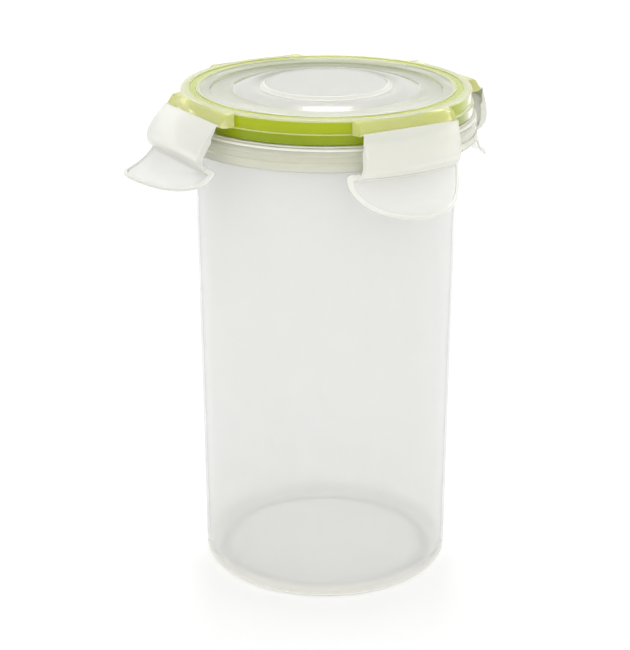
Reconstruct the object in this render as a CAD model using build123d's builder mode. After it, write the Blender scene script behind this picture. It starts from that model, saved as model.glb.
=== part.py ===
"""Tall round food canister: a translucent container, a clear lid with a silicone
sealing ring in its channel, and four locking flaps on living hinges.

Units are millimetres. +Z is up, the origin is on the container's axis in the plane
that it stands on. The four flaps face -Y (front), +X (right), +Y (back), -X (left).
"""

import os
from math import cos, pi, radians, sin, sqrt

from build123d import *

# ---------------------------------------------------------------- container
WALL = 1.6                 # container wall
FOOT_R = 43.2              # outer radius of the ring that it stands on
FOOT_IN_R = 37.6           # inner radius of that ring
RECESS = 1.2               # height of the recessed base above the table
BODY_R_LOW = 46.44         # outer radius of the drafted wall, taken down to z 0
BODY_DRAFT = 0.01253       # growth of that radius per mm of height
CORNER_Z = 4.2             # height at which the foot's round meets the wall
LIP_R = 48.60              # outer radius of the lip inside the lid
LIP_IN_R = 47.05           # inner radius of the lip
LIP_TOP = 182.85           # top of the lip
FLANGE_R = 55.05           # outer radius of the rim band
BAND_R = 55.40             # outer radius of the band's lower bead
FLANGE_TOP = 175.60        # top of the flange
FLANGE_WEB = 1.5           # thickness of the flange's flat web
BAND_WALL = 1.45           # thickness of the turned-down rim band
BAND_LOW = 167.50          # lower edge of the rim band

# ---------------------------------------------------------------------- lid
LID_T = 1.4                # lid wall
LID_TOP = 186.6            # top of the raised centre disc
RIM_Z = 185.4              # top of the lid's outer rim
SKIRT_R = 53.20            # outer radius of the upper skirt
SKIRT_LOW_R = 53.90        # outer radius of the lower skirt
SKIRT_STEP = 180.30        # height of the step between them
SKIRT_LOW = 175.90         # lower edge of the skirt
SKIRT_IN_R = 52.15         # inner radius of the skirt and of the seal's channel
PLUG_R = 46.05             # outer radius of the plug wall inside the mouth
PLUG_IN_R = 44.75          # inner radius of the plug wall
PLUG_LOW = 178.60          # lower edge of the plug wall
CHANNEL_TOP = 184.00       # roof of the channel over the container's lip
CHANNEL_OUT_TOP = 184.75   # roof of the channel's outer part
CHANNEL_OUT_R = 50.85      # where the outer part of the channel begins

# --------------------------------------------------------------- seal (ring)
SEAL_GAP = 0.05            # play between the ring and its channel
SEAL_WEB_LOW = 182.95      # underside of the ring's web, over the lip
SEAL_LEG_LOW = 177.00      # lower edge of the ring's outer leg
SEAL_LEG_IN_R = 50.90      # inner radius of that leg

# -------------------------------------------------------------------- flaps
HINGE_RHO = 55.70          # distance of each hinge line from the axis
HINGE_Z = 181.45           # height of the hinge lines
HINGE_HALF = 19.5          # half the length of a hinge
FILM_T = 0.40              # thickness of the living hinge
FILM_HALF = 0.50           # half its width, from ledge to flap
LEDGE_HALF = 19.8          # half the length of a hinge ledge
FLAP_T = 1.6               # flap wall
RIB_T = 1.2                # thickness of the ribs that close the flap's two ends
RIB_DEPTH = 1.2            # how far those ribs stand in from the flap's wall
TAB_R = 56.15              # outer radius of the tab where it begins, below the hook
TAB_Z = 165.15             # height at which it begins
TAB_T = 1.2                # thickness of the finger tab
TAB_HALF = 23.0            # half the width of the finger tab
TAB_LEN = 18.2             # length of the tab along its curve
TAB_IN = 8.0               # slope of the tab from the vertical where it begins, degrees
TAB_TURN = 70.0            # how much further it turns outward to its tip, degrees
TAB_POWER = 1.85           # fullness of the tab's D outline
TAB_UP = 2.0               # how far the tab's plate runs up beside the hook
RIM_W = 1.6                # width of the raised rim round the thumb recess
RECESS_DEPTH = 0.55        # depth of the thumb recess
REST_SHUT = 3.0            # rest angle of the unsnapped flaps, out from locked, degrees
REST_LEFT = 31.0           # rest angle of the left flap, out from locked, degrees


def body_r(z):
    """Outer radius of the container's wall at height z."""
    return BODY_R_LOW + BODY_DRAFT * z


# ================================================================ container
with BuildPart() as container:
    with BuildSketch(Plane.XZ) as container_profile:
        with BuildLine():
            # outer face, from the recessed base out, round the foot and up to the band
            Polyline(
                (0, RECESS + WALL), (0, RECESS), (FOOT_IN_R - 1.2, RECESS), (FOOT_IN_R, 0),
                (FOOT_R, 0),
            )
            foot = ThreePointArc(
                (FOOT_R, 0), (45.55, 1.25), (body_r(CORNER_Z), CORNER_Z)
            )
            Polyline(
                (body_r(CORNER_Z), CORNER_Z),
                (LIP_R, 172.4),
                (LIP_R, FLANGE_TOP - FLANGE_WEB),
                (FLANGE_R - BAND_WALL + 0.05, FLANGE_TOP - FLANGE_WEB),
                (FLANGE_R - BAND_WALL + 0.15, BAND_LOW),
                (BAND_R - 0.25, BAND_LOW),
                (BAND_R, BAND_LOW + 0.25),
                (BAND_R, 170.10),
                (FLANGE_R + 0.10, 170.45),
                (FLANGE_R - 0.15, 170.75),
                (FLANGE_R, 171.05),
                (FLANGE_R, 172.80),
                (FLANGE_R + 0.15, 173.00),
                (FLANGE_R, 173.20),
                (FLANGE_R - 0.10, FLANGE_TOP - 0.5),
                (FLANGE_R - 0.60, FLANGE_TOP),
                (LIP_R + 0.3, FLANGE_TOP),
                (LIP_R, FLANGE_TOP + 0.3),
                (LIP_R, LIP_TOP - 0.6),
                (LIP_R - 0.45, LIP_TOP),
                (LIP_IN_R + 0.45, LIP_TOP),
                (LIP_IN_R, LIP_TOP - 0.6),
                (LIP_IN_R, 172.4),
                (body_r(7.0) - WALL, 7.0),
            )
            inner_foot = ThreePointArc(
                (body_r(7.0) - WALL, 7.0), (43.55, 2.95), (40.6, WALL)
            )
            Polyline(
                (40.6, WALL), (38.0, WALL), (FOOT_IN_R - 1.4, RECESS + WALL),
                (0, RECESS + WALL),
            )
        make_face()
    revolve(axis=Axis.Z)
container.part.label = "container"

# ====================================================================== lid
TOP_RINGS = [
    # radius and height of the lid's top, from the centre disc out to the skirt
    (22.4, LID_TOP), (22.9, LID_TOP - 0.15), (23.8, 185.35), (24.9, 185.30),
    (26.0, 185.62), (27.2, 185.80), (28.6, 185.78), (30.4, 185.45), (32.6, 184.85),
    (34.8, 184.10), (36.2, 183.78), (38.0, 183.65), (40.6, 183.70), (42.0, 183.85),
    (42.6, 184.55), (43.4, 184.72), (45.6, 184.92), (46.4, 185.30), (47.4, 185.45),
    (48.3, 185.42), (48.9, 185.12), (49.4, 185.12), (49.9, 185.38), (50.6, RIM_Z),
]
with BuildPart() as lid:
    with BuildSketch(Plane.XZ) as lid_profile:
        with BuildLine():
            top = [(0, LID_TOP), *TOP_RINGS, (SKIRT_R - 0.7, RIM_Z), (SKIRT_R - 0.15, RIM_Z - 0.25), (SKIRT_R, RIM_Z - 0.75)]
            side = [
                (SKIRT_R, SKIRT_STEP + 0.25),
                (SKIRT_LOW_R - 0.25, SKIRT_STEP + 0.05),
                (SKIRT_LOW_R, SKIRT_STEP - 0.2),
                (SKIRT_LOW_R, SKIRT_LOW + 0.25),
                (SKIRT_LOW_R - 0.25, SKIRT_LOW),
                (SKIRT_IN_R + 0.25, SKIRT_LOW),
                (SKIRT_IN_R, SKIRT_LOW + 0.25),
            ]
            channel = [
                (SKIRT_IN_R, CHANNEL_OUT_TOP),
                (CHANNEL_OUT_R, CHANNEL_OUT_TOP),
                (CHANNEL_OUT_R, CHANNEL_TOP),
                (PLUG_R, CHANNEL_TOP),
                (PLUG_R, PLUG_LOW + 0.4),
                (PLUG_R - 0.4, PLUG_LOW),
                (PLUG_IN_R + 0.2, PLUG_LOW),
                (PLUG_IN_R, PLUG_LOW + 0.2),
                (PLUG_IN_R, 183.30),
            ]
            # underside of the top, one wall below the rings
            under = [
                (43.6, 183.30), (43.2, 183.12), (42.6, 182.42), (41.6, 182.26),
                (38.0, 182.22), (36.0, 182.32), (34.2, 182.70), (32.0, 183.44),
                (29.9, 184.05), (28.2, 184.36), (27.2, 184.38), (26.2, 184.22),
                (25.2, 183.92), (23.2, 183.92), (22.4, 184.30), (21.9, LID_TOP - LID_T),
                (0, LID_TOP - LID_T),
            ]
            Polyline(*(top + side + channel + under), close=True)
        make_face()
    revolve(axis=Axis.Z)
    # hinge ledges: they fill the room between the round skirt and the straight hinges
    for turn in (0, 90, 180, 270):
        ledge_plane = Plane(
            origin=(0, 0, 0),
            x_dir=(sin(radians(turn)), -cos(radians(turn)), 0),
            z_dir=(-cos(radians(turn)), -sin(radians(turn)), 0),
        )
        with BuildSketch(ledge_plane.offset(-LEDGE_HALF)):
            with BuildLine():
                Polyline(
                    (48.0, SKIRT_STEP + 0.05),
                    (HINGE_RHO - FILM_HALF - 1.6, SKIRT_STEP + 0.05),
                    (HINGE_RHO - FILM_HALF, SKIRT_STEP + 0.65),
                    (HINGE_RHO - FILM_HALF, HINGE_Z + FILM_T / 2),
                    (53.55, 184.50),
                    (53.05, 185.05),
                    (52.30, RIM_Z - 0.12),
                    (48.0, RIM_Z - 0.12),
                    close=True,
                )
            make_face()
        extrude(amount=2 * LEDGE_HALF)
    # the ledges reach no further in than the skirt's own wall
    with BuildSketch(Plane.XY.offset(SKIRT_STEP - 1)) as ledge_cut:
        Circle(SKIRT_IN_R)
    extrude(amount=CHANNEL_OUT_TOP - SKIRT_STEP + 1, mode=Mode.SUBTRACT)
    # which also takes the channel's roof and the plug away, so they are put back
    with BuildSketch(Plane.XZ):
        with BuildLine():
            Polyline(
                *(
                    [(0, LID_TOP), *TOP_RINGS, (CHANNEL_OUT_R + 0.2, RIM_Z)]
                    + [(CHANNEL_OUT_R + 0.2, CHANNEL_OUT_TOP), *channel[1:]]
                    + under
                ),
                close=True,
            )
        make_face()
    revolve(axis=Axis.Z)
lid.part.label = "lid"

# ===================================================================== seal
with BuildPart() as seal_ring:
    with BuildSketch(Plane.XZ):
        with BuildLine():
            Polyline(
                (PLUG_R + SEAL_GAP, CHANNEL_TOP - SEAL_GAP),
                (CHANNEL_OUT_R + SEAL_GAP, CHANNEL_TOP - SEAL_GAP),
                (CHANNEL_OUT_R + SEAL_GAP, CHANNEL_OUT_TOP - SEAL_GAP),
                (SKIRT_IN_R - SEAL_GAP - 0.15, CHANNEL_OUT_TOP - SEAL_GAP),
                (SKIRT_IN_R - SEAL_GAP, CHANNEL_OUT_TOP - SEAL_GAP - 0.15),
                (SKIRT_IN_R - SEAL_GAP, SEAL_LEG_LOW + 0.3),
                (SKIRT_IN_R - SEAL_GAP - 0.3, SEAL_LEG_LOW),
                (SEAL_LEG_IN_R + 0.3, SEAL_LEG_LOW),
                (SEAL_LEG_IN_R, SEAL_LEG_LOW + 0.3),
                (SEAL_LEG_IN_R, SEAL_WEB_LOW - 0.5),
                (SEAL_LEG_IN_R - 0.5, SEAL_WEB_LOW),
                (LIP_IN_R - 0.1, SEAL_WEB_LOW),
                (LIP_IN_R - 0.2, SEAL_WEB_LOW - 1.4),
                (LIP_IN_R - 0.45, SEAL_WEB_LOW - 1.6),
                (PLUG_R + SEAL_GAP, SEAL_WEB_LOW - 1.3),
                close=True,
            )
        make_face()
    revolve(axis=Axis.Z)
seal_ring.part.label = "seal_ring"

# ==================================================================== flaps
# Outer face of a locked flap: (radius, height, how far the point follows the rim's
# circle, from 0 for a straight chord at the hinge to 1 for a full circle).
FLAP_OUTER = [
    (56.20, HINGE_Z + 0.20, 0.0), (57.60, 180.20, 0.22), (59.30, 177.80, 0.55),
    (60.60, 175.20, 0.85), (61.20, 172.60, 1.0), (61.10, 170.20, 1.0),
    (60.30, 168.00, 1.0), (58.90, 166.50, 1.0), (57.30, 165.75, 1.0), (56.05, 165.25, 1.0),
]
# Inner face, from the hook's edge under the rim band back up to the hinge.
FLAP_INNER = [
    (54.95, 166.20, 1.0), (55.00, 167.05, 1.0), (56.60, 167.20, 1.0), (58.30, 167.75, 1.0),
    (59.20, 168.90, 1.0), (59.60, 170.60, 1.0), (59.60, 172.60, 1.0), (59.05, 174.90, 0.85),
    (57.75, 177.20, 0.55), (56.60, 179.60, 0.22), (56.20, HINGE_Z - 0.20, 0.0),
]
STATIONS = (-19.5, -13.0, -6.5, 0.0, 6.5, 13.0, 19.5)


def rho(radius, follow, t):
    """Distance from the plane through the axis, at t along the hinge, of a flap point."""
    chord = HINGE_RHO + FILM_HALF
    straight = chord + (radius - chord) * (1 - (t / 40) ** 2)
    return (1 - follow) * straight + follow * sqrt(radius**2 - t**2)


def local(points, t):
    """Points of the flap's section at t, seen from the hinge line."""
    return [(rho(r, k, t) - HINGE_RHO, z - HINGE_Z) for r, z, k in points]


def flap_plane(turn, lift, t=0.0):
    """A plane across a flap at t along its hinge: x runs out from the hinge, y up,
    both turned outward by lift degrees about the hinge line."""
    a, b = radians(turn), radians(lift)
    out = Vector(sin(a), -cos(a), 0)
    along = Vector(cos(a), sin(a), 0)
    up = Vector(0, 0, 1)
    return Plane(
        origin=out * HINGE_RHO + up * HINGE_Z + along * t,
        x_dir=out * cos(b) + up * sin(b),
        z_dir=along * -1,
    )


def tab_point(s, depth=0.0):
    """Radius and height of the tab's section at length s, depth in from its outer face."""
    turn = radians(TAB_TURN) / TAB_LEN
    a0 = radians(TAB_IN)
    a = a0 + turn * s
    r = TAB_R + (cos(a0) - cos(a)) / turn
    z = TAB_Z - (sin(a) - sin(a0)) / turn
    return r - depth * cos(a) - HINGE_RHO, z - depth * sin(a) - HINGE_Z


def tab_section(start, end, depth0, depth1, n=8):
    """Closed outline of a strip of the tab's section between two depths."""
    cuts = [start + (end - start) * i / (n - 1) for i in range(n)]
    return [tab_point(s, depth0) for s in cuts], [tab_point(s, depth1) for s in cuts][::-1]


TAB_CHORD = Vector(*tab_point(TAB_LEN)) - Vector(*tab_point(0))


def d_outline(half, length, top, n=17):
    """D outline in the plane of the tab's chord: x along the hinge, y down the chord."""
    points = []
    for i in range(n):
        u = pi * i / (n - 1)
        t = -half * (1 if cos(u) > 0 else -1) * abs(cos(u)) ** (2 / TAB_POWER)
        s = length * abs(sin(u)) ** (2 / TAB_POWER)
        r, z = tab_point(s)
        r = sqrt((r + HINGE_RHO) ** 2 - t**2) - HINGE_RHO
        step = Vector(r, z) - Vector(*tab_point(0))
        points.append((t, step.dot(TAB_CHORD.normalized())))
    return points


def chord_plane(base):
    """Plane through the tab's root, square to the tab's mean direction."""
    root = Vector(*tab_point(0))
    down = TAB_CHORD.normalized()
    origin = base.from_local_coords(root)
    y_dir = base.from_local_coords(root + down) - origin
    along = base.z_dir * -1
    return Plane(origin=origin, x_dir=along, z_dir=along.cross(y_dir))


def make_shell(turn, lift):
    """Shell of the clip: a straight hinge edge that swells into a curved band, with the
    hook's floor turned in under the container's rim."""
    with BuildPart() as shell:
        for t in STATIONS:
            outer, inner = local(FLAP_OUTER, t), local(FLAP_INNER, t)
            with BuildSketch(flap_plane(turn, lift, t)):
                with BuildLine():
                    Spline(*outer)
                    Line(outer[-1], inner[0])
                    Spline(*inner)
                    Line(inner[-1], outer[0])
                make_face()
        loft()
        # ribs inside its two ends
        for t in (-STATIONS[-1], STATIONS[-1] - RIB_T):
            edge = local(FLAP_INNER, STATIONS[-1])
            low = edge[2][1] - 0.5  # the ribs' lower ends sit in the hook's floor
            wall = [(edge[2][0] + 0.6, low)] + [(x + 0.6, y) for x, y in edge[3:-2]]
            deep = [(edge[2][0] - RIB_DEPTH, low)] + [(x - RIB_DEPTH, y) for x, y in edge[3:-3]]
            with BuildSketch(flap_plane(turn, lift, t)):
                with BuildLine():
                    Polyline(*wall, *deep[::-1], close=True)
                make_face()
            extrude(amount=-RIB_T)
    return shell.part


def make_tab(turn, lift):
    """Finger tab: a plate that curves round the container and flares outward to its
    tip, cut to a D outline, with a thumb recess inside a raised rim."""
    base = flap_plane(turn, lift)
    centre = base.from_local_coords(Vector(-HINGE_RHO, 0))
    round_axis = Axis(origin=centre, direction=base.y_dir)
    with BuildPart() as recess:
        face, back = tab_section(0.0, TAB_LEN, -2.0, RECESS_DEPTH)
        for way in (1, -1):
            with BuildSketch(base):
                with BuildLine():
                    Spline(*face)
                    Line(face[-1], back[0])
                    Spline(*back)
                    Line(back[-1], face[0])
                make_face()
            revolve(axis=round_axis, revolution_arc=30 * way)
        with BuildSketch(chord_plane(base)):
            with BuildLine():
                edge = d_outline(TAB_HALF - RIM_W, TAB_LEN - RIM_W, 0.0)
                Spline(*edge)
                Polyline(edge[-1], (edge[-1][0], -3.0), (edge[0][0], -3.0), edge[0])
            make_face()
        extrude(amount=30, both=True, mode=Mode.INTERSECT)
    with BuildPart() as tab:
        face, back = tab_section(-TAB_UP, TAB_LEN + 0.5, 0.0, TAB_T)
        for way in (1, -1):
            with BuildSketch(base):
                with BuildLine():
                    Spline(*face)
                    Line(face[-1], back[0])
                    Spline(*back)
                    Line(back[-1], face[0])
                make_face()
            revolve(axis=round_axis, revolution_arc=30 * way)
        with BuildSketch(chord_plane(base)):
            with BuildLine():
                edge = d_outline(TAB_HALF, TAB_LEN, 0.0)
                Spline(*edge)
                Polyline(edge[-1], (edge[-1][0] - 0.9, -9.0), (edge[0][0] + 0.9, -9.0), edge[0])
            make_face()
        extrude(amount=30, both=True, mode=Mode.INTERSECT)
        add(recess.part, mode=Mode.SUBTRACT)
    return tab.part


def make_film(turn, lift):
    """Living hinge: a thin strip from the lid's ledge to the flap's edge."""
    flat, turned = flap_plane(turn, 0.0, -HINGE_HALF), flap_plane(turn, lift, -HINGE_HALF)
    corners = [(FILM_HALF, FILM_T / 2), (FILM_HALF, -FILM_T / 2)]
    moved = [flat.to_local_coords(turned.from_local_coords(Vector(*c))) for c in corners]
    with BuildPart() as film:
        with BuildSketch(flat):
            with BuildLine():
                Polyline(
                    (-FILM_HALF, -FILM_T / 2),
                    (-FILM_HALF, FILM_T / 2),
                    (-0.04, FILM_T / 2),
                    *[(m.X, m.Y) for m in moved],
                    (0.04, -FILM_T / 2),
                    close=True,
                )
            make_face()
        extrude(amount=-2 * HINGE_HALF)
    return film.part


with BuildPart() as flap_front:
    add(make_shell(0, REST_SHUT))
    add(make_tab(0, REST_SHUT))
flap_front.part.label = "flap_front"

with BuildPart() as flap_right:
    add(make_shell(90, REST_SHUT))
    add(make_tab(90, REST_SHUT))
flap_right.part.label = "flap_right"

with BuildPart() as flap_back:
    add(make_shell(180, REST_SHUT))
    add(make_tab(180, REST_SHUT))
flap_back.part.label = "flap_back"

with BuildPart() as flap_left:
    add(make_shell(270, REST_LEFT))
    add(make_tab(270, REST_LEFT))
flap_left.part.label = "flap_left"

with BuildPart() as hinge_film_front:
    add(make_film(0, REST_SHUT))
hinge_film_front.part.label = "hinge_film_front"

with BuildPart() as hinge_film_right:
    add(make_film(90, REST_SHUT))
hinge_film_right.part.label = "hinge_film_right"

with BuildPart() as hinge_film_back:
    add(make_film(180, REST_SHUT))
hinge_film_back.part.label = "hinge_film_back"

with BuildPart() as hinge_film_left:
    add(make_film(270, REST_LEFT))
hinge_film_left.part.label = "hinge_film_left"

# ================================================================== writing
os.makedirs("parts", exist_ok=True)
export_step(container.part, "parts/container.step")
export_step(lid.part, "parts/lid.step")
export_step(seal_ring.part, "parts/seal_ring.step")
export_step(flap_front.part, "parts/flap_front.step")
export_step(flap_right.part, "parts/flap_right.step")
export_step(flap_back.part, "parts/flap_back.step")
export_step(flap_left.part, "parts/flap_left.step")
export_step(hinge_film_front.part, "parts/hinge_film_front.step")
export_step(hinge_film_right.part, "parts/hinge_film_right.step")
export_step(hinge_film_back.part, "parts/hinge_film_back.step")
export_step(hinge_film_left.part, "parts/hinge_film_left.step")
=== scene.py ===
import math

import bmesh
import bpy
import numpy as np
from mathutils import Matrix, Vector


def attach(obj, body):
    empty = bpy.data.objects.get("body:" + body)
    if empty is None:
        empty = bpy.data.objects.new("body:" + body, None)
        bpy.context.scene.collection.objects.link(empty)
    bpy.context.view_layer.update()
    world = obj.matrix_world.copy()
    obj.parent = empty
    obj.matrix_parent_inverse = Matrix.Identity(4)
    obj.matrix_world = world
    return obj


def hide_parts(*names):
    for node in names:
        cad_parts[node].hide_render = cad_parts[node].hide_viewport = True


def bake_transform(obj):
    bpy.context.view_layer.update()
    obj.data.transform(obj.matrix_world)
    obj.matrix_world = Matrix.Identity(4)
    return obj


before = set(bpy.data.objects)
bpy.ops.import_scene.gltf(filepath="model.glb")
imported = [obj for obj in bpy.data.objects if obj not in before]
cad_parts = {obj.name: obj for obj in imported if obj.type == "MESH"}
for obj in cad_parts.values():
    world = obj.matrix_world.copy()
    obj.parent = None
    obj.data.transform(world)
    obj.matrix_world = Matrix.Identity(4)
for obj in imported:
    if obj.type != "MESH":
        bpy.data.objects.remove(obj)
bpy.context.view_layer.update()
scene = bpy.context.scene
MM = 0.001

# ------------------------------------------------------------------ dimensions, mm
RECESS, WALL = 1.2, 1.6
SKIRT_R, SKIRT_LOW_R, SKIRT_STEP, SKIRT_LOW, SKIRT_IN_R = 53.20, 53.90, 180.30, 175.90, 52.15
RIM_Z, LID_TOP = 185.4, 186.6
PLUG_R, PLUG_IN_R, PLUG_LOW = 46.05, 44.75, 178.60
CHANNEL_TOP, CHANNEL_OUT_TOP, CHANNEL_OUT_R = 184.00, 184.75, 50.85
HINGE_RHO, HINGE_Z, HINGE_HALF = 55.70, 181.45, 19.5
FILM_T, FILM_HALF, LEDGE_HALF = 0.40, 0.50, 19.8
TAB_R, TAB_Z, TAB_T, TAB_HALF, TAB_LEN = 56.15, 165.15, 1.2, 23.0, 17.9
TAB_IN, TAB_TURN, TAB_POWER, TAB_UP = 8.0, 70.0, 1.85, 2.0
RIM_W, RECESS_DEPTH = 1.6, 0.55
FLAPS = {"front": (0, 3.0), "right": (90, 3.0), "back": (180, 3.0), "left": (270, 31.0)}
FLAP_OUTER = [
    (56.20, HINGE_Z + 0.20, 0.0), (57.60, 180.20, 0.22), (59.30, 177.80, 0.55),
    (60.60, 175.20, 0.85), (61.20, 172.60, 1.0), (61.10, 170.20, 1.0),
    (60.30, 168.00, 1.0), (58.90, 166.50, 1.0), (57.30, 165.75, 1.0), (56.05, 165.25, 1.0),
]
FLAP_INNER = [
    (54.95, 166.20, 1.0), (55.00, 167.05, 1.0), (56.60, 167.20, 1.0), (58.30, 167.75, 1.0),
    (59.20, 168.90, 1.0), (59.60, 170.60, 1.0), (59.60, 172.60, 1.0), (59.05, 174.90, 0.85),
    (57.75, 177.20, 0.55), (56.60, 179.60, 0.22), (56.20, HINGE_Z - 0.20, 0.0),
]


def body_r(z):
    return 46.44 + 0.01253 * z


# ------------------------------------------------------------------ curves
def cubic(points, count):
    """count points, evenly spaced, on the smooth cubic curve through the given points."""
    p = np.array(points, float)
    u = np.concatenate([[0], np.cumsum(np.linalg.norm(np.diff(p, axis=0), axis=1))])
    n, h = len(p), np.diff(u)
    a, b = np.zeros((n, n)), np.zeros((n, p.shape[1]))
    a[0, 0] = a[-1, -1] = 1
    for i in range(1, n - 1):
        a[i, i - 1], a[i, i], a[i, i + 1] = h[i - 1], 2 * (h[i - 1] + h[i]), h[i]
        b[i] = 6 * ((p[i + 1] - p[i]) / h[i] - (p[i] - p[i - 1]) / h[i - 1])
    m = np.linalg.solve(a, b)

    def at(x):
        i = np.clip(np.searchsorted(u, x, side="right") - 1, 0, n - 2)
        l, r, k = (u[i + 1] - x)[:, None], (x - u[i])[:, None], h[i][:, None]
        return (m[i] * l**3 + m[i + 1] * r**3) / (6 * k) + (p[i] / k - m[i] * k / 6) * l + (
            p[i + 1] / k - m[i + 1] * k / 6
        ) * r

    fine = at(np.linspace(0, u[-1], 800))
    run = np.concatenate([[0], np.cumsum(np.linalg.norm(np.diff(fine, axis=0), axis=1))])
    want = np.linspace(0, run[-1], count)
    return np.stack([np.interp(want, run, fine[:, k]) for k in range(p.shape[1])], 1)


def rounded(points, step=11.0, support=0.06):
    """A path with its corners rounded. Each point is (x, y, corner radius); 0 keeps it as it is."""
    pts = [np.array(p[:2], float) for p in points]
    out = [pts[0]]
    for i in range(1, len(pts) - 1):
        radius, p = points[i][2] if len(points[i]) > 2 else 0.0, pts[i]
        a, b = pts[i - 1] - p, pts[i + 1] - p
        la, lb = np.linalg.norm(a), np.linalg.norm(b)
        if radius <= 0 or la < 1e-6 or lb < 1e-6:
            out.append(p)
            continue
        a, b = a / la, b / lb
        half = math.acos(float(np.clip(a @ b, -1, 1))) / 2
        if half > math.radians(89):
            out.append(p)
            continue
        t = min(radius / math.tan(half), 0.47 * la, 0.47 * lb)
        radius = t * math.tan(half)
        mid = (a + b) / np.linalg.norm(a + b)
        c = p + mid * radius / math.sin(half)
        s, e = p + a * t, p + b * t
        a0, a1 = math.atan2(*(s - c)[::-1]), math.atan2(*(e - c)[::-1])
        turn = (a1 - a0 + math.pi) % (2 * math.pi) - math.pi
        n = max(2, int(math.ceil(abs(math.degrees(turn)) / step)))
        if la > 2.4 * t + 2 * support:
            out.append(s + a * support)
        out += [c + radius * np.array([math.cos(a0 + turn * k / n), math.sin(a0 + turn * k / n)]) for k in range(n + 1)]
        if lb > 2.4 * t + 2 * support:
            out.append(e + b * support)
    out.append(pts[-1])
    keep = [out[0]]
    for p in out[1:]:
        if np.linalg.norm(p - keep[-1]) > 1e-4:
            keep.append(p)
    return np.array(keep)


def arc3(a, b, c, n):
    """n + 1 points on the arc through a, b and c."""
    (ax, ay), (bx, by), (cx, cy) = a, b, c
    d = 2 * (ax * (by - cy) + bx * (cy - ay) + cx * (ay - by))
    ux = ((ax**2 + ay**2) * (by - cy) + (bx**2 + by**2) * (cy - ay) + (cx**2 + cy**2) * (ay - by)) / d
    uy = ((ax**2 + ay**2) * (cx - bx) + (bx**2 + by**2) * (ax - cx) + (cx**2 + cy**2) * (bx - ax)) / d
    r = math.hypot(ax - ux, ay - uy)
    a0, a1 = math.atan2(ay - uy, ax - ux), math.atan2(cy - uy, cx - ux)
    turn = (a1 - a0 + math.pi) % (2 * math.pi) - math.pi
    return [(ux + r * math.cos(a0 + turn * k / n), uy + r * math.sin(a0 + turn * k / n)) for k in range(n + 1)]


# ------------------------------------------------------------------ meshes
def make_object(name, verts, faces, sharp=32.0, weld=2e-6):
    """A mesh object from millimetre vertices, welded, facing outward and smooth shaded."""
    mesh = bpy.data.meshes.new(name)
    mesh.from_pydata([tuple(float(c) * MM for c in v) for v in verts], [], [tuple(f) for f in faces])
    bm = bmesh.new()
    bm.from_mesh(mesh)
    bmesh.ops.remove_doubles(bm, verts=bm.verts, dist=weld)
    bmesh.ops.dissolve_degenerate(bm, edges=bm.edges, dist=1e-8)
    bmesh.ops.recalc_face_normals(bm, faces=bm.faces)
    if bm.calc_volume(signed=True) < 0:
        bmesh.ops.reverse_faces(bm, faces=bm.faces)
    for f in bm.faces:
        f.smooth = True
    bm.to_mesh(mesh)
    bm.free()
    mesh.set_sharp_from_angle(angle=math.radians(sharp))
    o = bpy.data.objects.new(name, mesh)
    scene.collection.objects.link(o)
    return o


def grid_faces(rows, cols, closed_rows=False, closed_cols=False, base=0):
    """Quads over a grid whose vertex (i, j) is number base + i * cols + j."""
    faces = []
    for i in range(rows if closed_rows else rows - 1):
        for j in range(cols if closed_cols else cols - 1):
            a, b = (i + 1) % rows, (j + 1) % cols
            faces.append((base + i * cols + j, base + a * cols + j, base + a * cols + b, base + i * cols + b))
    return faces


def revolve(name, path, segments=240, closed=False, sharp=32.0):
    """Turns a path of (radius, height) round the Z axis."""
    path = np.array(path, float)
    ang = np.linspace(0, 2 * math.pi, segments, endpoint=False)
    verts = []
    for a in ang:
        verts += [(r * math.cos(a), r * math.sin(a), z) for r, z in path]
    return make_object(name, verts, grid_faces(segments, len(path), True, closed), sharp)


# ------------------------------------------------------------------ container
FOOT = arc3((43.2, 0), (45.55, 1.25), (body_r(4.2), 4.2), 10)
INNER_FOOT = arc3((body_r(7.0) - WALL, 7.0), (43.55, 2.95), (40.6, WALL), 10)
container_path = rounded(
    [(0, RECESS, 0), (20, RECESS, 0), (36.4, RECESS, 0.5), (37.6, 0.0, 0.35), (42.6, 0, 0)]
    + [(r, z, 0) for r, z in FOOT]
    + [(body_r(5.0), 5.0, 0), (body_r(9.0), 9.0, 0), (body_r(60), 60, 0), (body_r(120), 120, 0), (48.56, 171.6, 0), (48.60, 172.4, 0), (48.60, 174.1, 0.5), (53.65, 174.1, 0.6),
       (53.75, 167.5, 0.25), (55.40, 167.5, 0.35), (55.40, 170.15, 0.30), (54.90, 170.60, 0.16), (54.92, 171.0, 0.15),
       (55.05, 171.10, 0.08), (55.05, 172.65, 0.10), (55.20, 172.80, 0.08), (55.20, 173.20, 0.08), (55.03, 173.38, 0.10),
       (54.95, 175.60, 0.55), (48.60, 175.60, 0.35), (48.60, 182.85, 0.42), (47.05, 182.85, 0.42), (47.05, 172.4, 0.0),
       (body_r(120) - WALL, 120, 0), (body_r(60) - WALL, 60, 0), (body_r(7.6) - WALL, 7.6, 0)]
    + [(r, z, 0) for r, z in INNER_FOOT]
    + [(39.4, WALL, 0), (37.8, WALL, 0.5), (36.2, RECESS + WALL, 0.45), (20, RECESS + WALL, 0), (0, RECESS + WALL, 0)]
)
container = revolve("container_shell", container_path, 288)

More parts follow.
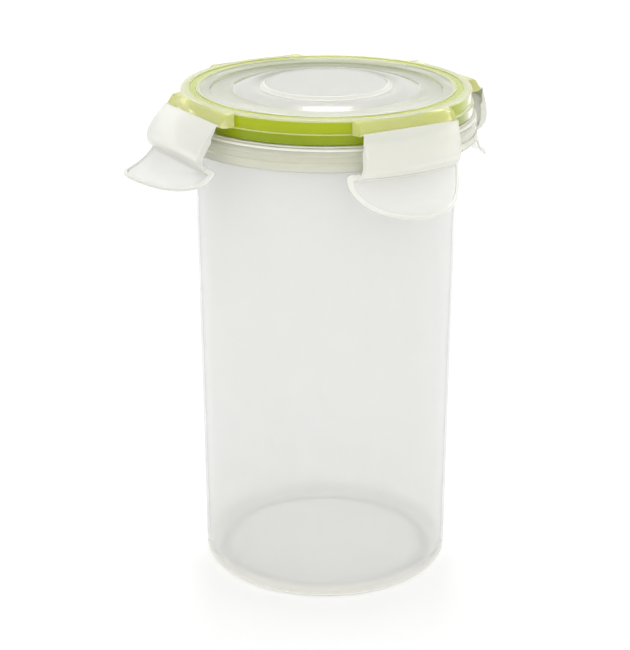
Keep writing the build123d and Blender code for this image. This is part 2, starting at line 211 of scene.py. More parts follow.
# ------------------------------------------------------------------ lid
RINGS = [
    (24.4, 185.30), (24.9, 185.30), (26.0, 185.62), (27.2, 185.80), (28.6, 185.78), (30.4, 185.45), (32.6, 184.85),
    (34.8, 184.10), (36.2, 183.78), (38.0, 183.65), (40.6, 183.70), (41.6, 183.78),
]
lid_top = [(0, LID_TOP, 0), (12, LID_TOP, 0), (22.75, LID_TOP, 0.95), (23.85, 185.30, 0.45)]
lid_top += [(r, z, 0) for r, z in cubic(RINGS, 36)]
lid_top += [
    (42.15, 183.85, 0.25), (42.6, 184.62, 0.25), (45.75, 184.90, 0.5), (46.4, 185.36, 0.5), (47.45, 185.44, 0.2),
    (47.75, 185.12, 0.15), (49.75, 185.10, 0.15), (50.10, 185.40, 0.25), (51.3, RIM_Z, 0),
]
lid_low = [
    (SKIRT_LOW_R, 179.3, 0), (SKIRT_LOW_R, SKIRT_LOW, 0.30), (SKIRT_IN_R, SKIRT_LOW, 0.30), (SKIRT_IN_R, CHANNEL_OUT_TOP, 0.12),
    (CHANNEL_OUT_R, CHANNEL_OUT_TOP, 0.12), (CHANNEL_OUT_R, CHANNEL_TOP, 0.12), (PLUG_R, CHANNEL_TOP, 0.12),
    (PLUG_R, PLUG_LOW, 0.42), (PLUG_IN_R, PLUG_LOW, 0.25), (PLUG_IN_R, 183.30, 0.30), (43.5, 183.26, 0.25),
    (42.7, 182.40, 0.35),
]
lid_low += [(r, z, 0) for r, z in cubic([(41.6, 182.26), (38.0, 182.22), (36.0, 182.32), (34.2, 182.70), (32.0, 183.44), (29.9, 184.05), (28.2, 184.36), (27.2, 184.38), (26.2, 184.22), (25.2, 183.92)], 30)]
lid_low += [(23.2, 183.92, 0.3), (22.2, 185.20, 0.5), (12, 185.20, 0), (0, 185.20, 0)]


def resample(path, count):
    path = np.array(path, float)
    run = np.concatenate([[0], np.cumsum(np.linalg.norm(np.diff(path, axis=0), axis=1))])
    want = np.linspace(0, run[-1], count)
    return np.stack([np.interp(want, run, path[:, k]) for k in range(2)], 1)


ledge_mid = rounded(
    [(0.0, 185.30, 0), (52.35, 185.30, 0.8), (53.05, 185.05, 0.9), (53.55, 184.50, 1.2), (55.20, 181.66, 0.16), (55.20, 180.95, 0.25), (53.6, 180.33, 0.35), (0.0, 180.33, 0)],
    step=9.0,
)


def inset(path, d):
    """A path moved to its right-hand side by d, which is inward for the ledge's section."""
    if d == 0:
        return path.copy()
    tangent = np.gradient(path, axis=0)
    tangent /= np.linalg.norm(tangent, axis=1)[:, None] + 1e-12
    normal = np.stack([tangent[:, 1], -tangent[:, 0]], 1)
    return path + normal * d


top_path, low_path = rounded(lid_top), rounded(lid_low)
corner = rounded([(51.3, RIM_Z, 0), (SKIRT_R, RIM_Z, 0.65), (SKIRT_R, 184.2, 0)], step=9.0)
step_in = rounded([(SKIRT_R, 182, 0), (SKIRT_R, SKIRT_STEP + 0.28, 0.22), (SKIRT_LOW_R, SKIRT_STEP + 0.02, 0.30), (SKIRT_LOW_R, 179.3, 0)], step=9.0)
LEDGE_TOP, LEDGE_LOW = 185.30, 180.33
rim_edge = corner[corner[:, 1] > LEDGE_TOP + 0.001]  # the part of the rim's edge that stands above the ledges
low_edge = step_in[step_in[:, 1] < LEDGE_LOW - 0.001]
wall = np.vstack([corner, step_in])[::-1]


def skirt_at(z):
    """Radius of the round skirt at height z."""
    return float(np.interp(z, wall[:, 1], wall[:, 0]))


def lid_columns():
    """Columns of lid points: round ones, and ones where a ledge stands out to its hinge."""
    columns = []
    face = ledge_mid[1:-1]  # the ledge's section without its two flat sides' inner ends
    flats = np.linspace(0, 1, 9)[:-1]

    def profile(phi, t, d):
        """(distance out, place along the hinge, height) over the ledge, d in from its surface."""
        path, rows = inset(face, d), []
        # the top corner rolls off towards the ledge's two ends
        k = min(1.0, max(0.0, (abs(t) - LEDGE_HALF + 1.8) / 1.8))
        roll = (1 - math.sqrt(1 - k * k)) * np.clip((path[:, 1] - 182.0) / 3.2, 0, 1)
        path = path - np.stack([roll * 0.8, roll * 0.7], 1)
        ends = [np.array([skirt_at(z) * math.cos(phi), skirt_at(z) * math.sin(phi), z]) for z in (LEDGE_TOP, LEDGE_LOW)]
        # where the flat sides stop: on the skirt where the section doesn't reach past it
        stops = [
            np.array([rho_, t, min(max(z, LEDGE_LOW), LEDGE_TOP)]) if rho_ > end[0] + 0.02 else end
            for end, (rho_, z) in zip(ends, (path[0], path[-1]))
        ]
        for f in flats:
            rows.append(ends[0] + (stops[0] - ends[0]) * f)
        for rho_, z in path:
            z = min(max(z, LEDGE_LOW), LEDGE_TOP)
            out = skirt_at(z) * math.cos(phi)
            rows.append(np.array([rho_, t, z]) if rho_ > out + 0.02 else np.array([out, skirt_at(z) * math.sin(phi), z]))
        for f in flats[::-1]:
            rows.append(ends[1] + (stops[1] - ends[1]) * f)
        return rows

    heights = [min(max(z, LEDGE_LOW), LEDGE_TOP) for z in inset(face, 0.35)[:, 1]]
    core = [(skirt_at(z), z) for z in [LEDGE_TOP] * len(flats) + heights + [LEDGE_LOW] * len(flats)]
    above, below = np.vstack([top_path[:-1], rim_edge]), np.vstack([low_edge[:-1], low_path])

    def round_column(phi):
        ring = np.vstack([above, core, below])
        columns.append([(r * math.sin(phi), -r * math.cos(phi), z) for r, z in ring])

    def ledge_column(turn, t, d):
        phi, a = math.asin(t / 52.9), math.radians(turn)
        out, along = np.array([math.sin(a), -math.cos(a)]), np.array([math.cos(a), math.sin(a)])
        q = a + phi
        points = [(r * math.sin(q), -r * math.cos(q), z) for r, z in above]
        for rho_, place, z in profile(phi, t, d):
            xy = out * rho_ + along * place
            points.append((xy[0], xy[1], z))
        columns.append(points + [(r * math.sin(q), -r * math.cos(q), z) for r, z in below])

    half_angle = math.asin(LEDGE_HALF / 52.9)
    for turn in (0, 90, 180, 270):
        a = math.radians(turn)
        near = list(np.linspace(LEDGE_HALF - 1.8, LEDGE_HALF - 0.35, 8))
        ts = [-x for x in near[::-1]] + list(np.linspace(-LEDGE_HALF + 1.8, LEDGE_HALF - 1.8, 21))[1:-1] + near
        rounds = [(LEDGE_HALF - 0.35 + 0.35 * math.sin(k), 0.35 * (1 - math.cos(k))) for k in np.radians([15, 30, 45, 60, 75, 90])]
        for t, d in rounds[::-1]:
            ledge_column(turn, -t, d)
        for t in ts:
            ledge_column(turn, t, 0.0)
        for t, d in rounds:
            ledge_column(turn, t, d)
        # round columns from this ledge's end to the next one's start
        gap = math.pi / 2 - 2 * half_angle
        for k in range(22):
            round_column(a + half_angle + gap * k / 21)
    return columns


columns = lid_columns()
lid_verts = [p for c in columns for p in c]
lid = make_object("lid_shell", lid_verts, grid_faces(len(columns), len(columns[0]), True, False), sharp=30.0)

# ------------------------------------------------------------------ sealing ring
seal_path = rounded(
    [(48.6, 183.95, 0), (50.90, 183.95, 0.05), (50.90, 184.70, 0.05), (52.10, 184.70, 0.25), (52.10, 176.40, 0.40), (50.90, 176.40, 0.40),
     (50.90, 182.95, 0.50), (46.95, 182.95, 0.15), (46.75, 181.45, 0.18), (46.10, 181.55, 0.18), (46.10, 183.95, 0.10), (48.6, 183.95, 0)]
)[:-1]
seal = revolve("seal_band", seal_path, 288, closed=True)


# ------------------------------------------------------------------ flaps, in their locked place
def rho(radius, follow, t):
    chord = HINGE_RHO + FILM_HALF
    straight = chord + (radius - chord) * (1 - (t / 40) ** 2)
    return (1 - follow) * straight + follow * math.sqrt(radius**2 - t**2)


def tab_point(s, depth=0.0):
    turn = math.radians(TAB_TURN) / TAB_LEN
    a0 = math.radians(TAB_IN)
    a = a0 + turn * s
    r = TAB_R + (math.cos(a0) - math.cos(a)) / turn
    z = TAB_Z - (math.sin(a) - math.sin(a0)) / turn
    return r - depth * math.cos(a), z - depth * math.sin(a)


def ease(x):
    x = min(1.0, max(0.0, x))
    return x * x * (3 - 2 * x)


def shell_mesh():
    """The clip's shell: a grid over its outer face, its tip, its inner face and its hinge edge, closed at both ends."""
    n_out, n_in = 44, 52
    end, radius = HINGE_HALF, 0.30
    cols = [(t, 0.0) for t in np.linspace(-17.9, 17.9, 57)]
    steps = [18.0, 18.06, 18.12, 18.18, 18.24, 18.30, 18.36, 18.6, 18.9]
    rounds = [(end - radius + radius * math.sin(k), radius * (1 - math.cos(k))) for k in np.radians([0, 18, 36, 54, 72, 90])]
    side = [(t, 0.0) for t in steps] + rounds
    cols = [(-t, d) for t, d in side[::-1]] + cols + side
    verts, size = [], None
    for t, d in cols:
        tc = max(-end, min(end, t))
        outer = cubic([(rho(r, k, tc), z) for r, z, k in FLAP_OUTER], n_out)
        inner = cubic([(rho(r, k, tc), z) for r, z, k in FLAP_INNER], n_in)
        # ribs that stand in from the wall near the two ends
        rib = 1.2 * ease((abs(tc) - 18.02) / 0.34)
        for p in inner:
            p[0] -= rib * ease((177.2 - p[1]) / 2.4) * ease((p[1] - 167.0) / 0.9)
        tip = resample(rounded([tuple(outer[-1]), ((outer[-1] + inner[0]) / 2)], 11), 4)[1:-1]
        hinge = resample([inner[-1], outer[0]], 4)[1:-1]
        loop = np.vstack([outer, tip, inner, hinge])
        if d > 0:
            # the ends are rounded: each point draws towards the wall's middle
            low_half = resample(inner[::-1], n_out)
            mid = (outer + low_half) / 2
            half = np.linalg.norm(outer - low_half, axis=1) / 2
            share = np.minimum(d / np.maximum(half, 1e-6), 0.62)
            new_outer = outer + (mid - outer) * share[:, None]
            back = np.minimum(d / np.maximum(np.interp(np.linspace(0, 1, n_in), np.linspace(0, 1, n_out), half[::-1]), 1e-6), 0.62)
            mid_in = resample(mid[::-1], n_in)
            new_inner = inner + (mid_in - inner) * back[:, None]
            tip = resample([new_outer[-1], new_inner[0]], 4)[1:-1]
            hinge = resample([new_inner[-1], new_outer[0]], 4)[1:-1]
            loop = np.vstack([new_outer, tip, new_inner, hinge])
        size = len(loop)
        verts += [(p[0], tc, p[1]) for p in loop]
    faces = grid_faces(len(cols), size, False, True)
    # each end: a strip between the outer half and the inner half of the section
    for base in (0, (len(cols) - 1) * size):
        ring = list(range(base, base + size))
        a, b = ring[:n_out], ring[n_out + 2 : n_out + 2 + n_in][::-1]
        tip, hinge = ring[n_out : n_out + 2], ring[n_out + 2 + n_in :]
        faces += [(b[0], a[0], hinge[1], hinge[0])]
        faces += [(a[-1], b[-1], tip[1], tip[0])]
        i = j = 0
        while i < len(a) - 1 or j < len(b) - 1:
            if j >= len(b) - 1 or (i < len(a) - 1 and (i + 1) / (len(a) - 1) <= (j + 1) / (len(b) - 1)):
                faces.append((a[i], a[i + 1], b[j]))
                i += 1
            else:
                faces.append((a[i], b[j + 1], b[j]))
                j += 1
    return verts, faces


def tab_mesh():
    """The finger tab: rings that follow its D outline, round its edge, over the raised rim and down into the thumb recess, and the plain back."""
    n_d, n_side, n_top, r_edge = 72, 5, 26, 0.55

    def ring(d, scale=1.0):
        half, length = TAB_HALF - d, TAB_LEN - d
        top = -TAB_UP + d * (TAB_UP / RIM_W)
        pts = []
        for i in range(n_d + 1):
            u = math.pi * i / n_d
            # closer together where the outline turns
            t = -half * math.copysign(abs(math.cos(u)) ** (2 / TAB_POWER), math.cos(u))
            pts.append((t, length * abs(math.sin(u)) ** (2 / TAB_POWER)))
        corner = min(0.9, max(0.02, 0.5 * abs(top)))
        if top < -0.02:
            path = rounded([(half, 0, 0), (half - 0.1 * abs(top) / 2, top, corner), (-half + 0.1 * abs(top) / 2, top, corner), (-half, 0, 0)], 9)
        else:
            path = np.array([(half, 0.0), (half - 0.01, top), (-half + 0.01, top), (-half, 0.0)])
        run = resample(path, 2 * n_side + n_top)[1:-1]
        pts += [tuple(p) for p in run]
        c = np.array([0.0, 6.5])
        return [tuple(c + (np.array(p) - c) * scale) for p in pts]

    rings = []
    # back face, from its middle out to the edge
    for scale in (0.0, 0.12, 0.25, 0.38, 0.5, 0.62, 0.73, 0.83, 0.92):
        rings.append([(p, TAB_T) for p in ring(2.0, scale)])
    for d in (2.0, 1.4, 0.9, r_edge + 0.06):
        rings.append([(p, TAB_T) for p in ring(d)])
    for k in np.radians([90, 72, 54, 36, 18, 0]):
        rings.append([(p, TAB_T - r_edge + r_edge * math.sin(k)) for p in ring(r_edge * (1 - math.cos(k)))])
    for k in np.radians([0, 18, 36, 54, 72, 90]):
        rings.append([(p, r_edge - r_edge * math.sin(k)) for p in ring(r_edge * (1 - math.cos(k)))])
    for d, depth in ((r_edge + 0.06, 0), (1.0, 0), (1.38, 0), (1.46, 0.02), (1.54, 0.10), (1.62, 0.24), (1.70, 0.38), (1.78, 0.48), (1.88, 0.535), (2.0, 0.55)):
        rings.append([(p, depth) for p in ring(d)])
    for scale in (0.96, 0.9, 0.82, 0.73, 0.64, 0.54, 0.44, 0.34, 0.24, 0.12, 0.0):
        rings.append([(p, RECESS_DEPTH) for p in ring(2.0, scale)])
    verts = []
    for r in rings:
        for (t, s), depth in r:
            radius, z = tab_point(s, depth)
            verts.append((math.sqrt(radius**2 - t**2), t, z))
    return verts, grid_faces(len(rings), len(rings[0]), False, True)


def united(a, b):
    """The union of two closed mesh objects, as a mesh; the second is removed."""
    m = a.modifiers.new("union", "BOOLEAN")
    m.operation, m.solver, m.object = "UNION", "EXACT", b
    bpy.context.view_layer.update()
    dg = bpy.context.evaluated_depsgraph_get()
    mesh = bpy.data.meshes.new_from_object(a.evaluated_get(dg))
    bpy.data.objects.remove(b)
    bpy.data.objects.remove(a)
    return mesh


clip = united(make_object("clip_a", *shell_mesh()), make_object("clip_b", *tab_mesh()))
bm = bmesh.new()
bm.from_mesh(clip)
bmesh.ops.remove_doubles(bm, verts=bm.verts, dist=2e-6)
bmesh.ops.dissolve_degenerate(bm, edges=bm.edges, dist=1e-7)
bmesh.ops.triangulate(bm, faces=[f for f in bm.faces if len(f.verts) > 4])
for f in bm.faces:
    f.smooth = True
bm.to_mesh(clip)
bm.free()


def clip_points(co, turn, lift):
    """Places points given as (out from the axis, along the hinge, up) in millimetres for a flap turned out by lift."""
    a, b = math.radians(turn), np.radians(lift)
    out, along, up = np.array([math.sin(a), -math.cos(a), 0]), np.array([math.cos(a), math.sin(a), 0]), np.array([0, 0, 1.0])
    x, t, y = co[:, 0] - HINGE_RHO, co[:, 1], co[:, 2] - HINGE_Z
    b = np.broadcast_to(b, x.shape)
    xo, yo = x * np.cos(b) - y * np.sin(b), x * np.sin(b) + y * np.cos(b)
    return (xo + HINGE_RHO)[:, None] * out + t[:, None] * along + (yo + HINGE_Z)[:, None] * up


# the faces on the floor of the tab's recess
floor_line = np.array([tab_point(s, RECESS_DEPTH) for s in np.linspace(0, TAB_LEN, 400)])
recess = [
    f.index for f in clip.polygons
    if np.hypot(floor_line[:, 0] - math.hypot(f.center.x, f.center.y) / MM, floor_line[:, 1] - f.center.z / MM).min() < 0.07
]

flap_objects, film_objects = {}, {}
rest_co = np.array([v.co for v in clip.vertices], float) / MM
for side, (turn, lift) in FLAPS.items():
    mesh = clip.copy()
    mesh.name = f"flap_{side}_clip"
    mesh.vertices.foreach_set("co", (clip_points(rest_co, turn, lift) * MM).astype(np.float32).ravel())
    mesh.update()
    mesh.set_sharp_from_angle(angle=math.radians(34))
    o = bpy.data.objects.new(f"flap_{side}_clip", mesh)
    scene.collection.objects.link(o)
    flap_objects[side] = o

# ------------------------------------------------------------------ living hinges
for side, (turn, lift) in FLAPS.items():
    section = rounded([(0, FILM_T / 2, 0), (FILM_HALF + 0.04, FILM_T / 2, 0.05), (FILM_HALF + 0.04, -FILM_T / 2, 0.05), (-FILM_HALF - 0.04, -FILM_T / 2, 0.05), (-FILM_HALF - 0.04, FILM_T / 2, 0.05), (0, FILM_T / 2, 0)])[:-1]
    fine = []
    for p, q in zip(section, np.roll(section, -1, axis=0)):
        n = max(1, int(np.linalg.norm(q - p) / 0.07))
        fine += [p + (q - p) * k / n for k in range(n)]
    fine = np.array(fine)
    # thinner in the middle, as such a hinge is coined
    fine[:, 1] *= 1 - 0.22 * np.cos(np.clip(fine[:, 0] / FILM_HALF, -1, 1) * math.pi / 2) ** 2
    ts = np.linspace(-HINGE_HALF, HINGE_HALF, 41)
    co = np.array([(HINGE_RHO + x, t, HINGE_Z + y) for t in ts for x, y in fine])
    w = np.clip((co[:, 0] - HINGE_RHO + FILM_HALF) / (2 * FILM_HALF), 0, 1)
    w = w * w * (3 - 2 * w)
    placed = clip_points(co, turn, lift * w)
    faces = grid_faces(len(ts), len(fine), False, True)
    faces += [tuple(range(len(fine))), tuple(range((len(ts) - 1) * len(fine), len(ts) * len(fine)))]
    o = make_object(f"film_{side}", placed, faces, sharp=40)
    film_objects[side] = o


# ------------------------------------------------------------------ materials
def plastic(name, colour, colour2, roughness, transmission, ior=1.49, specular=0.5, mottling=60.0, bump=0.05, bump_scale=350.0, spread=0.05, gradient=None, rings=None):
    """A moulded plastic: two close tints in soft clouds, faint flow marks in the gloss and a slight orange peel."""
    m = bpy.data.materials.new(name)
    m.use_nodes = True
    nt = m.node_tree
    nt.nodes.clear()
    new, link = nt.nodes.new, nt.links.new
    out, p = new("ShaderNodeOutputMaterial"), new("ShaderNodeBsdfPrincipled")
    link(p.outputs["BSDF"], out.inputs["Surface"])
    coord = new("ShaderNodeTexCoord")
    clouds = new("ShaderNodeTexNoise")
    clouds.inputs["Scale"].default_value = mottling
    clouds.inputs["Detail"].default_value = 3.0
    link(coord.outputs["Object"], clouds.inputs["Vector"])
    ramp = new("ShaderNodeValToRGB")
    ramp.color_ramp.elements[0].position, ramp.color_ramp.elements[1].position = 0.35, 0.65
    ramp.color_ramp.elements[0].color, ramp.color_ramp.elements[1].color = (*colour, 1), (*colour2, 1)
    link(clouds.outputs["Fac"], ramp.inputs["Fac"])
    base = ramp.outputs["Color"]
    # a second colour and clearness below a band of heights; the materials below use it for painted light, and at the
    # foot also for haze
    if gradient:
        low_z, high_z, low_colour, low_colour2, low_clear = gradient
        split = new("ShaderNodeSeparateXYZ")
        link(coord.outputs["Object"], split.inputs["Vector"])
        ranged = new("ShaderNodeMapRange")
        ranged.interpolation_type = "SMOOTHSTEP"
        ranged.inputs["From Min"].default_value, ranged.inputs["From Max"].default_value = low_z, high_z
        link(split.outputs["Z"], ranged.inputs["Value"])
        ramp2 = new("ShaderNodeValToRGB")
        ramp2.color_ramp.elements[0].position, ramp2.color_ramp.elements[1].position = 0.35, 0.65
        ramp2.color_ramp.elements[0].color, ramp2.color_ramp.elements[1].color = (*low_colour, 1), (*low_colour2, 1)
        link(clouds.outputs["Fac"], ramp2.inputs["Fac"])
        mix = new("ShaderNodeMix")
        mix.data_type = "RGBA"
        link(ranged.outputs["Result"], mix.inputs["Factor"])
        link(ramp2.outputs["Color"], mix.inputs["A"])
        link(base, mix.inputs["B"])
        base = mix.outputs["Result"]
    if rings:
        # painted shade and highlights: rings of colour by distance from the axis, in mm
        flat = new("ShaderNodeVectorMath")
        flat.operation = "MULTIPLY"
        flat.inputs[1].default_value = (1, 1, 0)
        link(coord.outputs["Object"], flat.inputs[0])
        far = new("ShaderNodeVectorMath")
        far.operation = "LENGTH"
        link(flat.outputs["Vector"], far.inputs[0])
        scaled = new("ShaderNodeMapRange")
        scaled.inputs["From Max"].default_value = 0.048
        link(far.outputs["Value"], scaled.inputs["Value"])
        bands = new("ShaderNodeValToRGB")
        stops = bands.color_ramp.elements
        stops[0].color, stops[1].color = (*rings[0][1], 1), (*rings[-1][1], 1)
        for r, tint in rings[1:-1]:
            stops.new(r / 48.0).color = (*tint, 1)
        link(scaled.outputs["Result"], bands.inputs["Fac"])
        mix = new("ShaderNodeMix")
        mix.data_type = "RGBA"
        mix.inputs["Factor"].default_value = 0.85
        link(base, mix.inputs["A"])
        link(bands.outputs["Color"], mix.inputs["B"])
        base = mix.outputs["Result"]
    link(base, p.inputs["Base Color"])
    flow = new("ShaderNodeTexNoise")
    flow.inputs["Scale"].default_value = 140.0
    flow.inputs["Detail"].default_value = 2.0
    link(coord.outputs["Object"], flow.inputs["Vector"])
    gloss = new("ShaderNodeMapRange")
    gloss.inputs["To Min"].default_value, gloss.inputs["To Max"].default_value = roughness - spread, roughness + spread
    link(flow.outputs["Fac"], gloss.inputs["Value"])
    link(gloss.outputs["Result"], p.inputs["Roughness"])
    peel = new("ShaderNodeTexNoise")
    peel.inputs["Scale"].default_value = bump_scale
    peel.inputs["Detail"].default_value = 2.0
    link(coord.outputs["Object"], peel.inputs["Vector"])
    bumped = new("ShaderNodeBump")
    bumped.inputs["Strength"].default_value = bump
    bumped.inputs["Distance"].default_value = 0.0002
    link(peel.outputs["Fac"], bumped.inputs["Height"])
    link(bumped.outputs["Normal"], p.inputs["Normal"])
    p.inputs["Metallic"].default_value = 0.0
    p.inputs["IOR"].default_value = ior
    p.inputs["Specular IOR Level"].default_value = specular
    if gradient:
        clear = new("ShaderNodeMapRange")
        clear.inputs["To Min"].default_value, clear.inputs["To Max"].default_value = low_clear, transmission
        link(ranged.outputs["Result"], clear.inputs["Value"])
        link(clear.outputs["Result"], p.inputs["Transmission Weight"])
    else:
        p.inputs["Transmission Weight"].default_value = transmission
    return m


# painted light: above 164–169.5 mm the body's colour turns darker and yellow, a painted reflection of the green light
# the seal throws onto the neck; below it the plain milky tone
M_BODY = plastic(
    "milky_polypropylene", (0.850, 0.852, 0.740), (0.860, 0.860, 0.755), 0.04, 0.64, ior=1.25, specular=0.2, mottling=25.0, spread=0.015,
    gradient=(0.164, 0.1695, (0.925, 0.926, 0.912), (0.930, 0.929, 0.919), 0.64),
)
# painted light: the inner faces of the wall take a lighter copy of the body plastic, to offset the shade inside the
# container
M_INNER = plastic("milky_polypropylene_inside", (0.992, 0.992, 0.982), (0.995, 0.994, 0.986), 0.04, 0.64, ior=1.25, specular=0.2, mottling=25.0, spread=0.015)
# towards the floor the foot turns less clear where it is thicker and hazier, and lighter and warmer in colour as
# painted light against the contact shade at the floor
M_FOOT = plastic(
    "milky_polypropylene_foot", (0.925, 0.926, 0.912), (0.930, 0.929, 0.919), 0.04, 0.64, ior=1.25, specular=0.2, mottling=25.0, spread=0.015,
    gradient=(0.0022, 0.0082, (0.972, 0.965, 0.893), (0.976, 0.970, 0.903), 0.24),
)
# painted light: the flange top's yellowish, slightly darker colour is a painted reflection of the seal's green light
M_SHELF = plastic("milky_polypropylene_flange", (0.880, 0.872, 0.800), (0.888, 0.880, 0.812), 0.20, 0.10, ior=1.3, specular=0.25, mottling=25.0, spread=0.03)
M_UNDER = plastic("milky_polypropylene_underside", (0.995, 0.992, 0.972), (0.998, 0.995, 0.980), 0.30, 0.0, ior=1.3, specular=0.3, mottling=25.0, spread=0.05)
# painted light on the base: its near-white, nearly opaque colour is lightened against the shade inside the container;
# the dark ring at r 37.8–40.6 mm is painted shade of the groove; the pale rings at r 35.6–37 mm and beyond 42.2 mm are
# painted highlights on the step and the inner corner
M_BASE = plastic(
    "milky_polypropylene_base", (0.985, 0.985, 0.975), (0.990, 0.988, 0.980), 0.10, 0.04, ior=1.3, specular=0.3, mottling=25.0, spread=0.02,
    rings=[(0.0, (0.995, 0.997, 0.958)), (34.8, (0.975, 0.978, 0.940)), (35.6, (1.0, 1.0, 0.96)), (37.0, (1.0, 1.0, 0.96)),
           (37.8, (0.58, 0.59, 0.57)), (40.6, (0.58, 0.59, 0.57)), (42.2, (1.0, 0.998, 0.97)), (48.0, (1.0, 0.998, 0.97))],
)
M_LIP = plastic("clear_polypropylene_lip", (0.975, 0.98, 0.94), (0.98, 0.98, 0.95), 0.04, 0.88, ior=1.3, specular=0.2, spread=0.02)
M_LID = plastic("clear_polypropylene_lid", (0.700, 0.710, 0.668), (0.710, 0.716, 0.678), 0.17, 0.76)
# painted light: the lid's valley ring (r 34–46 mm) is clear plastic given a darker olive colour, painted in for the
# seal's green seen through it
M_VALLEY = plastic("clear_polypropylene_valley_painted_seal_green", (0.720, 0.740, 0.618), (0.732, 0.748, 0.634), 0.05, 0.53, ior=1.3, spread=0.02)
M_RIM = plastic("clear_polypropylene_rim", (0.965, 0.958, 0.70), (0.97, 0.962, 0.72), 0.12, 0.60, ior=1.3, specular=0.4)
M_SKIRT = plastic("clear_polypropylene_skirt", (0.99, 0.995, 0.90), (0.995, 0.995, 0.91), 0.03, 1.0, ior=1.25, specular=0.15, spread=0.02, bump=0.03)
# painted light: the clear groove ring over the seal is coloured green, painted in for the seal seen through it
M_LINE = plastic("clear_polypropylene_groove_painted_seal_green", (0.84, 0.90, 0.25), (0.85, 0.905, 0.27), 0.10, 0.66, ior=1.3, specular=0.3, spread=0.02)
# painted light: the clear ledges carry a yellow tint that stands in for the seal's green light glowing through them
M_LEDGE = plastic("clear_polypropylene_ledge_painted_seal_glow", (1.0, 1.0, 0.46), (1.0, 1.0, 0.50), 0.09, 0.60, ior=1.3, specular=0.4)
# painted highlights: a whiter, less clear copy of the lid plastic on the disc's rounded front edge and the skirt's
# lowest edge, to show bright edge lines
M_EDGE = plastic("clear_polypropylene_painted_highlight_edge", (0.985, 0.980, 0.915), (0.990, 0.985, 0.925), 0.10, 0.28, ior=1.3, specular=0.3)
M_FLAP = plastic("clear_polypropylene_flap", (0.930, 0.932, 0.862), (0.938, 0.936, 0.872), 0.12, 0.34, ior=1.3, specular=0.12)
# painted shade: the flap that stands out takes more light on its outer side, so its colour and its tab's are painted a
# little darker to offset that light
M_FLAP_OPEN = plastic("clear_polypropylene_open_flap", (0.790, 0.795, 0.738), (0.798, 0.799, 0.748), 0.12, 0.20, ior=1.3, specular=0.12)
M_TAB_OPEN = plastic("clear_polypropylene_open_tab", (0.770, 0.774, 0.748), (0.776, 0.777, 0.755), 0.08, 0.30, ior=1.3, specular=0.12)
# painted light: the flaps' inner faces use a lighter, clearer copy of the flap plastic to offset the shade between flap
# and lid
M_FLAP_BACK = plastic("clear_polypropylene_flap_back", (0.995, 0.995, 0.965), (0.998, 0.997, 0.970), 0.10, 0.78, ior=1.3, specular=0.12)
# painted light: the thumb recess uses a lighter, clearer copy of the flap plastic, lightened against the shade in the
# recess
M_TAB = plastic("clear_polypropylene_tab", (0.955, 0.957, 0.925), (0.961, 0.960, 0.932), 0.08, 0.50, ior=1.3, specular=0.12)
# painted shade: below 179.7–180.6 mm the seal turns darker green, standing in for the shade on its lower part under the
# lid's step
M_SEAL = plastic(
    "green_silicone", (0.53, 0.63, 0.0), (0.51, 0.61, 0.001), 0.45, 0.0, ior=1.41, specular=0.12, mottling=90.0,
    gradient=(0.1797, 0.1806, (0.36, 0.46, 0.0), (0.34, 0.44, 0.001), 0.0),
)


def paint(o, *materials):
    o.data.materials.clear()
    for m in materials:
        o.data.materials.append(m)


paint(container, M_BODY, M_BASE, M_LIP, M_INNER, M_FOOT, M_UNDER, M_SHELF)
for face in container.data.polygons:
    z, r = face.center.z / MM, math.hypot(face.center.x, face.center.y) / MM
    inner = r < body_r(z) - WALL * 0.6
    if z > 175.9:
        face.material_index = 2
    # flange top: the colour with the painted seal light
    elif z > 174.9 and r > 48.8:
        face.material_index = 6
    # base floor: painted shade and highlight rings
    elif inner and z < 3.8 and r < 43.5 and face.normal.z > 0.1:
        face.material_index = 1
    # inner wall: the lighter copy, painted light against the shade inside
    elif inner and face.normal.z > -0.1 and z > 2.0:
        face.material_index = 3
    elif z < 2.5 and face.normal.z < -0.6:
        face.material_index = 5
    # outer wall's lowest 13 mm: the foot material, whose lighter colour near the floor is painted light
    elif z < 13.0:
        face.material_index = 4
paint(lid, M_LID, M_RIM, M_SKIRT, M_LEDGE, M_LINE, M_VALLEY, M_EDGE)
for face in lid.data.polygons:
    x, y, z = (c / MM for c in face.center)
    r = math.hypot(x, y)
    # groove ring: the green painted in for the seal seen through
    if 47.5 < r < 50.1 and z > 185.0 and face.normal.z > 0.2:
        face.material_index = 4
    # disc's rounded front edge: the painted highlight copy
    elif 22.0 < r < 24.3 and 0.05 < face.normal.z < 0.985 and z > 185.0:
        face.material_index = 6
    # lid top: inside r 34 the plain lid, outside it the valley with its painted seal green
    elif r < 46.3 and z > 183.35 and face.normal.z > 0.2:
        face.material_index = 0 if r < 34.0 else 5
    elif (z > 185.22 and r < 53.0 and face.normal.z > 0.2) or (z > 184.72 and 52.3 < r < 53.3 and face.normal.z > -0.3):
        face.material_index = 1
    # skirt's lowest edge: the painted highlight copy
    elif z < 176.5 and r > 51.9:
        face.material_index = 6
    # ledges: the yellow tint of painted seal light
    elif r > 53.3 and z > 180.5:
        face.material_index = 3
    else:
        face.material_index = 2
paint(seal, M_SEAL)
for o in film_objects.values():
    paint(o, M_FLAP)
for side, (turn, lift) in FLAPS.items():
    # the faces that look towards the container
    opened = lift > 20
    paint(flap_objects[side], M_FLAP_OPEN if opened else M_FLAP, M_FLAP_BACK, M_TAB_OPEN if opened else M_TAB)
    a, b = math.radians(turn), math.radians(lift)
    out = Vector((math.sin(a) * math.cos(b), -math.cos(a) * math.cos(b), math.sin(b)))
    for face in flap_objects[side].data.polygons:
        # inner faces take the lightened back copy, painted light against the shade there
        face.material_index = 1 if face.normal.dot(out) < -0.2 else 0
    # recess floor: the lightened tab copy
    for k in recess:
        flap_objects[side].data.polygons[k].material_index = 2

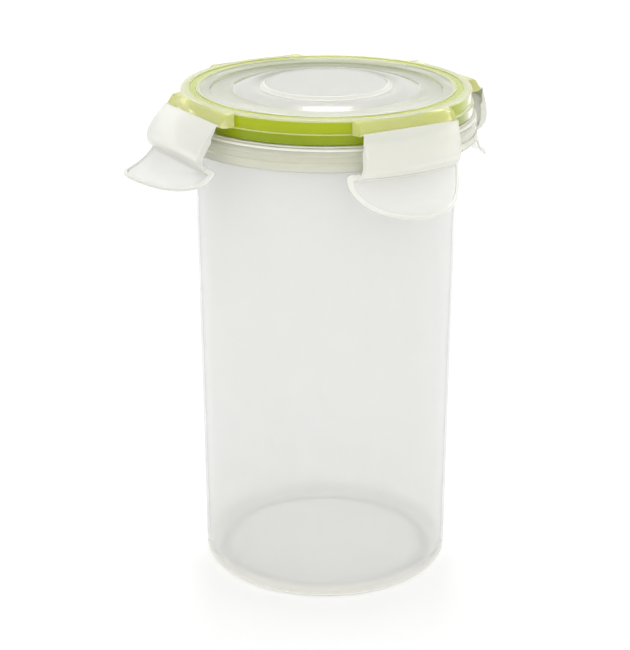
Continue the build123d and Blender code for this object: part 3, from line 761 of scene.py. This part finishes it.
# ------------------------------------------------------------------ what moves with what
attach(container, "container")
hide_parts("container")
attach(lid, "lid")
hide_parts("lid")
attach(seal, "lid")
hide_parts("seal_ring")
for side, (turn, lift) in FLAPS.items():
    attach(flap_objects[side], f"flap_{side}")
    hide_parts(f"flap_{side}")
    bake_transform(film_objects[side])
    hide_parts(f"hinge_film_{side}")

# ------------------------------------------------------------------ stage, light and camera
floor_mesh = bpy.data.meshes.new("floor")
floor_mesh.from_pydata([(-4, -4, 0), (4, -4, 0), (4, 4, 0), (-4, 4, 0)], [], [(0, 1, 2, 3)])
floor = bpy.data.objects.new("floor", floor_mesh)
scene.collection.objects.link(floor)
m = bpy.data.materials.new("pale_floor")
m.use_nodes = True
m.node_tree.nodes["Principled BSDF"].inputs["Base Color"].default_value = (0.97, 0.97, 0.97, 1)
m.node_tree.nodes["Principled BSDF"].inputs["Roughness"].default_value = 0.9
m.node_tree.nodes["Principled BSDF"].inputs["Specular IOR Level"].default_value = 0.1
floor.data.materials.append(m)
floor.location.z = -0.0002

world = bpy.data.worlds.new("studio")
scene.world = world
world.use_nodes = True
sky, around = world.node_tree, world.node_tree.nodes.new("ShaderNodeTexCoord")
height = sky.nodes.new("ShaderNodeSeparateXYZ")
sky.links.new(around.outputs["Generated"], height.inputs["Vector"])
glow = sky.nodes.new("ShaderNodeMapRange")
glow.inputs["To Min"].default_value, glow.inputs["To Max"].default_value = 1.00, 1.20
sky.links.new(height.outputs["Z"], glow.inputs["Value"])
sky.links.new(glow.outputs["Result"], sky.nodes["Background"].inputs["Strength"])
sky.nodes["Background"].inputs["Color"].default_value = (1.0, 1.0, 1.0, 1)


def area(name, place, target, size, power):
    data = bpy.data.lights.new(name, "AREA")
    data.shape, data.size, data.size_y, data.energy = "RECTANGLE", size[0], size[1], power
    o = bpy.data.objects.new(name, data)
    o.location = place
    o.rotation_euler = (Vector(target) - Vector(place)).to_track_quat("-Z", "Y").to_euler()
    scene.collection.objects.link(o)
    return o


area("softbox", (0.36, 0.587, 1.16), (0, 0, 0.18), (0.26, 0.34), 1.8)

camera = bpy.data.objects.new("camera", bpy.data.cameras.new("camera"))
scene.collection.objects.link(camera)
camera.location = (-0.3676, -0.5998, 0.3493)
camera.rotation_euler = (math.radians(69.93), 0.0, math.radians(-31.17))
camera.data.sensor_width = 36.0
camera.data.lens = 108.9
camera.data.clip_start, camera.data.clip_end = 0.05, 50.0
scene.camera = camera

scene.view_settings.view_transform = "Standard"
scene.view_settings.look = "None"
scene.view_settings.exposure = 0.0
scene.view_settings.gamma = 1.0
scene.cycles.max_bounces = 40
scene.cycles.diffuse_bounces = 16
scene.cycles.glossy_bounces = 12
scene.cycles.transmission_bounces = 28
scene.cycles.transparent_max_bounces = 12
scene.cycles.sample_clamp_indirect = 6.0
scene.cycles.blur_glossy = 0.6
